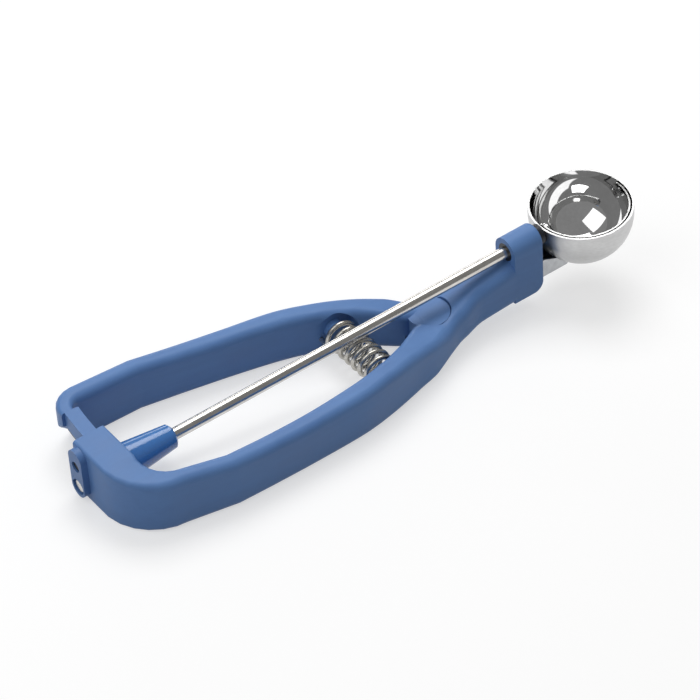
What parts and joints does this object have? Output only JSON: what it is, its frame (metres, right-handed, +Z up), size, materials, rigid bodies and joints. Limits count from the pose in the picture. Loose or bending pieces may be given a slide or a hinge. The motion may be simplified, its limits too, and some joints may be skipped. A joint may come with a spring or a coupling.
{
  "type": "lever ice cream scoop",
  "caption": "Squeeze-handle ice cream portioner: two hinged arms drive a rack and pinion whose rod turns a scraper in a round bowl.",
  "frame": {"origin": "centre of the bounding box at the level of the surface that the handles rest on", "axes": "+X from the rear plate towards the bowl, +Y towards the lever's side, +Z up from the rest surface"},
  "size_m": [0.2423, 0.068, 0.0374],
  "materials": {
    "handle_plastic": "satin moulded",
    "collar_plastic": "glossy moulded",
    "bush_plastic": "matte",
    "steel": "plain",
    "polished_steel": "polished",
    "plate_paint": "satin",
    "dark_steel": "darkened",
    "bowl_steel": "polished inside, satin outside",
    "blade_steel": "polished",
    "bracket_steel": "satin",
    "insert_brass": "plain",
    "spring_steel": "bright drawn"
  },
  "bodies": {
    "handle": {"main_handle": "handle_plastic", "front_bush": "bush_plastic", "front_ferrule": "bush_plastic", "rear_bush": "bush_plastic", "rear_plate": "plate_paint", "plate_screw": "dark_steel", "bowl": "bowl_steel", "bowl_bracket": "bracket_steel", "bracket_screw": "steel", "tip_pin": "polished_steel", "pivot_washer": "steel", "return_spring": "spring_steel"},
    "lever": {"lever_handle": "handle_plastic", "rack": "steel", "rack_rivets": "steel", "pivot_insert": "insert_brass", "pivot_screw": "steel"},
    "drive": {"drive_rod": "polished_steel", "pinion": "steel", "drive_collar": "collar_plastic", "collar_pin": "polished_steel", "rod_clip": "steel", "scraper_blade": "blade_steel", "scraper_hub": "steel"}
  },
  "joints": [
    {"name": "lever_squeeze", "type": "hinge", "parent": "handle", "child": "lever", "pos_m": [0.03046, 0, 0.02352], "axis": [-0.1201, 0, 0.9928], "range_deg": [0, 6.17], "stiffness_Nm_per_rad": 17, "springref_deg": -2.86, "deforming": ["return_spring"]},
    {"name": "scraper_turn", "type": "hinge", "parent": "handle", "child": "drive", "pos_m": [0.03046, 0, 0.02352], "axis": [0.9928, 0, 0.1201], "range_deg": [0, 180]}
  ],
  "couplings": [
    {"joint": "scraper_turn", "follows": "lever_squeeze", "ratio": 29.146}
  ]
}
